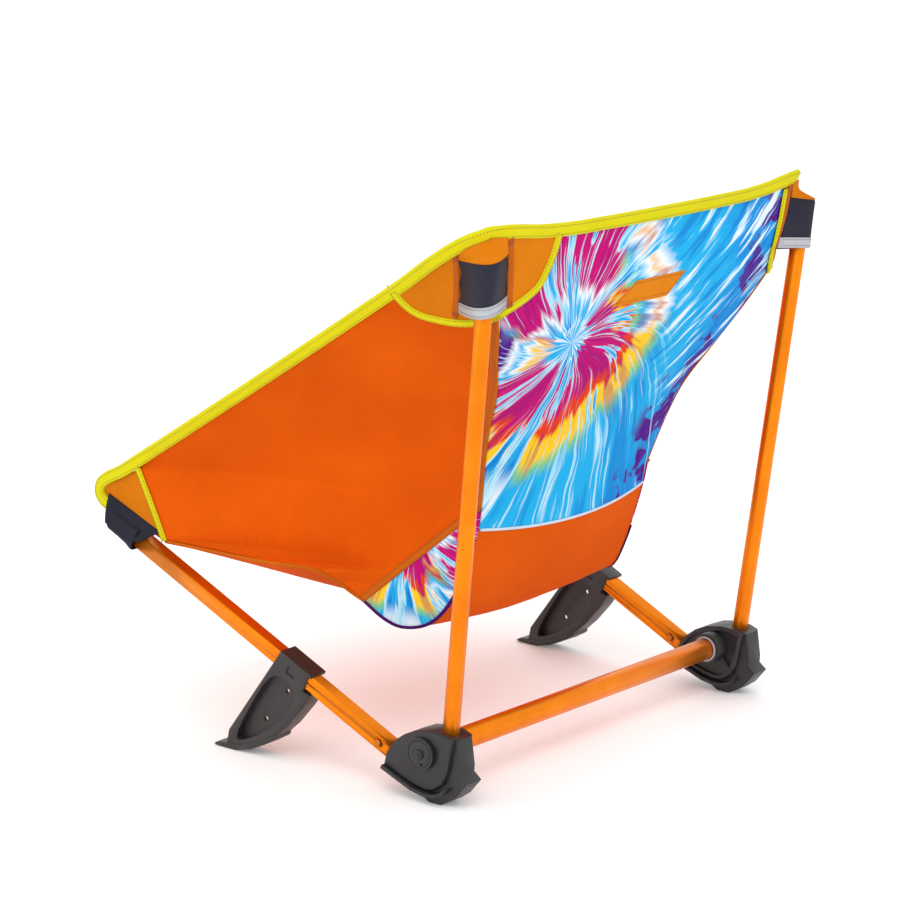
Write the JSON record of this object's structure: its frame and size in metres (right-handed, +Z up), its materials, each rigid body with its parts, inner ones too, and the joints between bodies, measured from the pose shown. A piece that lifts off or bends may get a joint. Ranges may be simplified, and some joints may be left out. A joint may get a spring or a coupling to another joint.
{
  "type": "folding camp chair",
  "caption": "Low packable camp chair: hubs on a crossbar, upright poles, hinged seat rails with sliding feet, and a slung fabric bucket seat.",
  "frame": {"origin": "on the ground, under the middle of the overall box", "axes": "+Z up, +Y towards the back of the chair, +X towards the left of a person sitting in it; -Y is the front"},
  "size_m": [0.5318, 0.5128, 0.5499],
  "materials": {
    "anodised_tube": "satin anodised, bright orange",
    "moulding": "fine satin moulding",
    "steel": "bright zinc",
    "bush": "smooth pale grey",
    "reflective": "grey reflective tape",
    "sleeve": "coated black fabric, slight sheen",
    "canvas": "plain-woven orange canvas",
    "printed_fabric": "spiral tie-dye pattern",
    "patch_fabric": "yellow-orange canvas",
    "binding_tape": "ribbed neon yellow tape"
  },
  "bodies": {
    "frame": {"crossbar": "anodised_tube", "left_hub_shell": "moulding", "left_end_disc": "moulding", "left_crossbar_plug": "moulding", "left_axle_bolt": "steel", "left_crossbar_bush": "bush", "left_upright": "anodised_tube", "left_upright_plug": "moulding", "right_hub_shell": "moulding", "right_end_disc": "moulding", "right_crossbar_plug": "moulding", "right_axle_bolt": "steel", "right_crossbar_bush": "bush", "right_upright": "anodised_tube", "right_upright_plug": "moulding", "left_side_panel": "canvas", "right_side_panel": "canvas", "back_panel": "printed_fabric", "seat_floor": "canvas", "left_gusset": "printed_fabric", "right_gusset": "printed_fabric", "left_front_corner_patch": "patch_fabric", "right_front_corner_patch": "patch_fabric", "left_rear_corner_patch": "patch_fabric", "right_rear_corner_patch": "patch_fabric", "left_side_binding": "binding_tape", "right_side_binding": "binding_tape", "back_binding": "binding_tape", "left_rear_pocket": "sleeve", "right_rear_pocket": "sleeve", "left_reflective_band": "reflective", "right_reflective_band": "reflective", "back_label": "patch_fabric"},
    "left_rail": {"left_seat_rail": "anodised_tube", "left_rail_knuckle": "moulding", "left_rail_rivet": "steel", "left_rail_plug": "moulding", "left_front_pocket": "sleeve"},
    "right_rail": {"right_seat_rail": "anodised_tube", "right_rail_knuckle": "moulding", "right_rail_rivet": "steel", "right_rail_plug": "moulding", "right_front_pocket": "sleeve"},
    "left_foot": {"left_foot": "moulding"},
    "right_foot": {"right_foot": "moulding"}
  },
  "joints": [
    {"name": "left_rail_fold", "type": "hinge", "parent": "frame", "child": "left_rail", "pos_m": [0.2345, 0.13235, 0.0333], "axis": [-1, 0, 0], "range_deg": [0, 70], "deforming": ["left_side_panel", "right_side_panel", "back_panel", "seat_floor", "left_gusset", "right_gusset", "left_front_corner_patch", "right_front_corner_patch", "left_rear_corner_patch", "right_rear_corner_patch", "left_side_binding", "right_side_binding", "back_binding"]},
    {"name": "right_rail_fold", "type": "hinge", "parent": "frame", "child": "right_rail", "pos_m": [-0.2345, 0.13235, 0.0333], "axis": [-1, 0, 0], "range_deg": [0, 70]},
    {"name": "left_foot_slide", "type": "slide", "parent": "left_rail", "child": "left_foot", "axis": [-0.0262, 0.9045, -0.4256], "range_m": [0, 0.07]},
    {"name": "right_foot_slide", "type": "slide", "parent": "right_rail", "child": "right_foot", "axis": [0.0262, 0.9045, -0.4256], "range_m": [0, 0.07]}
  ],
  "couplings": [
    {"joint": "right_rail_fold", "follows": "left_rail_fold", "ratio": 1}
  ]
}
